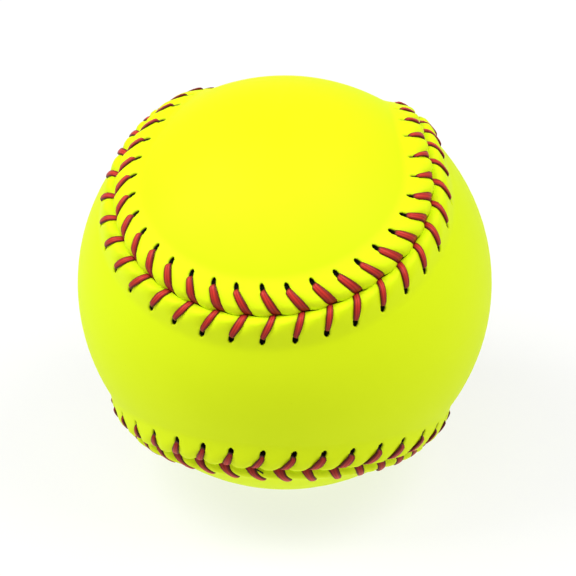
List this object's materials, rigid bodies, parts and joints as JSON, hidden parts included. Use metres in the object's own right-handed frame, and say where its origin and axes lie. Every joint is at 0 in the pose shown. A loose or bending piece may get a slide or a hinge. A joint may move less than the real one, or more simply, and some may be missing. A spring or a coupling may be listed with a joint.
{
  "type": "softball",
  "caption": "Twelve-inch fastpitch softball with a moulded core and a two-panel leather cover sewn along a raised V-stitched seam.",
  "frame": {"origin": "centre of the ball", "axes": "+Z through one lobe of the upper cover panel, +X through one lobe of the lower cover panel, +Y through the middle of the upper panel's waist"},
  "size_m": [0.0962, 0.0962, 0.0962],
  "materials": {
    "core_foam": "matte moulded polyurethane foam",
    "cement": "dull cured latex cement",
    "cover_leather": "semi-matte optic yellow leather with a fine grain",
    "waxed_thread": "waxed multi-strand thread, pressed flat"
  },
  "bodies": {
    "root": {"core": "core_foam", "cement_film": "cement", "upper_cover_panel": "cover_leather", "lower_cover_panel": "cover_leather", "first_thread": "waxed_thread", "second_thread": "waxed_thread"}
  },
  "joints": []
}
